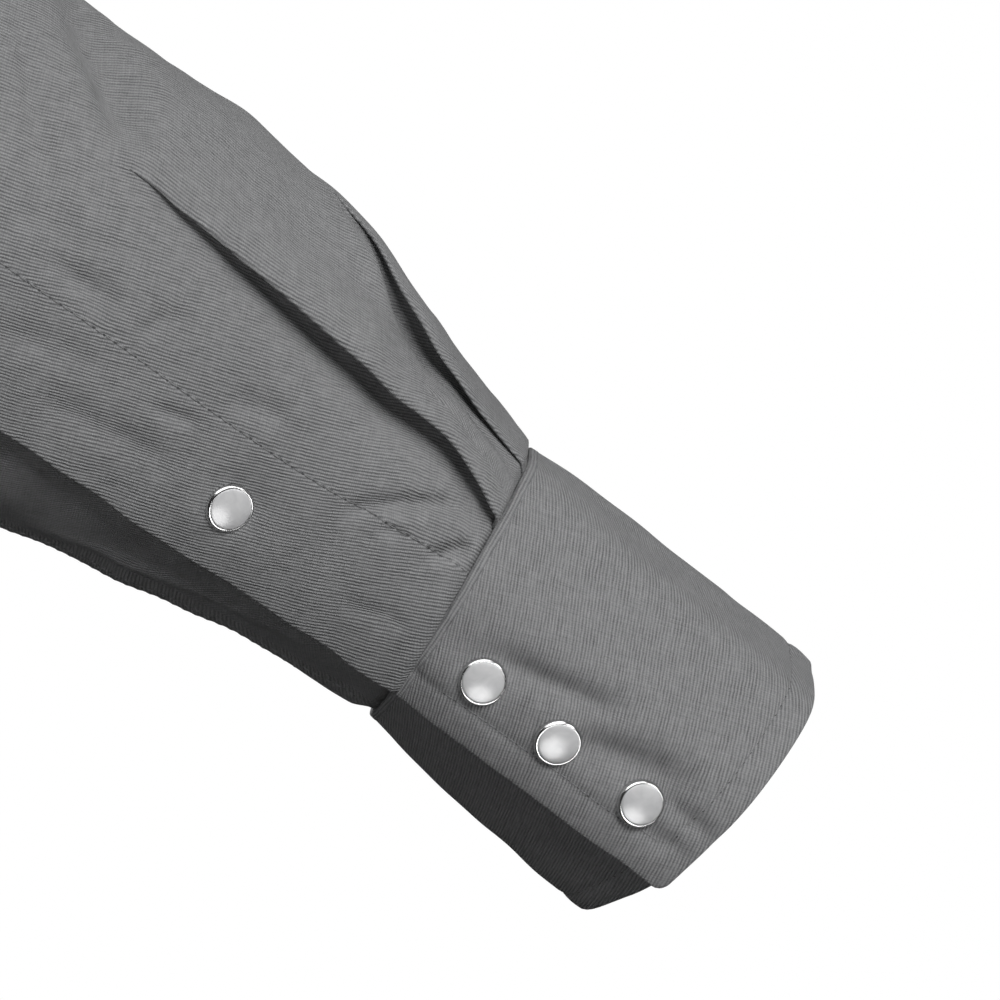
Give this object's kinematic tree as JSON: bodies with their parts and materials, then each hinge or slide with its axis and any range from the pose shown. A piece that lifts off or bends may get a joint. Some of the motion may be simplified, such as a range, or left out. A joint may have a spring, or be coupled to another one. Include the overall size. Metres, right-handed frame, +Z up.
{
  "type": "work shirt",
  "caption": "Hollow long-sleeved work shirt in grey twill with a pearl-snap front, folded collar, pleated sleeves and snapped barrel cuffs.",
  "frame": {"origin": "middle of the neck, between the two shoulder neck points, where the shirt rests on its wearer", "axes": "+Z up, -Y towards the front closure, +X towards the wearer's left sleeve, which is the longest extent"},
  "size_m": [1.3022, 0.2931, 0.7996],
  "materials": {
    "grey_twill": "matt twill",
    "snap_silver": "polished",
    "snap_pearl": "pearl"
  },
  "bodies": {
    "root": {"back": "grey_twill", "front_left": "grey_twill", "front_right": "grey_twill", "front_band": "grey_twill", "collar_stand": "grey_twill", "collar_leaf": "grey_twill", "sleeve_left": "grey_twill", "sleeve_right": "grey_twill", "sleeve_placket_left": "grey_twill", "sleeve_placket_right": "grey_twill", "cuff_left": "grey_twill", "cuff_right": "grey_twill", "snap_collar": "snap_silver", "snap_front_1": "snap_silver", "snap_front_2": "snap_silver", "snap_front_3": "snap_silver", "snap_front_4": "snap_silver", "snap_front_5": "snap_silver", "snap_front_6": "snap_silver", "snap_cuff_left_1": "snap_silver", "snap_cuff_left_2": "snap_silver", "snap_cuff_left_3": "snap_silver", "snap_placket_left": "snap_silver", "snap_cuff_right_1": "snap_silver", "snap_cuff_right_2": "snap_silver", "snap_cuff_right_3": "snap_silver", "snap_placket_right": "snap_silver"}
  },
  "joints": []
}
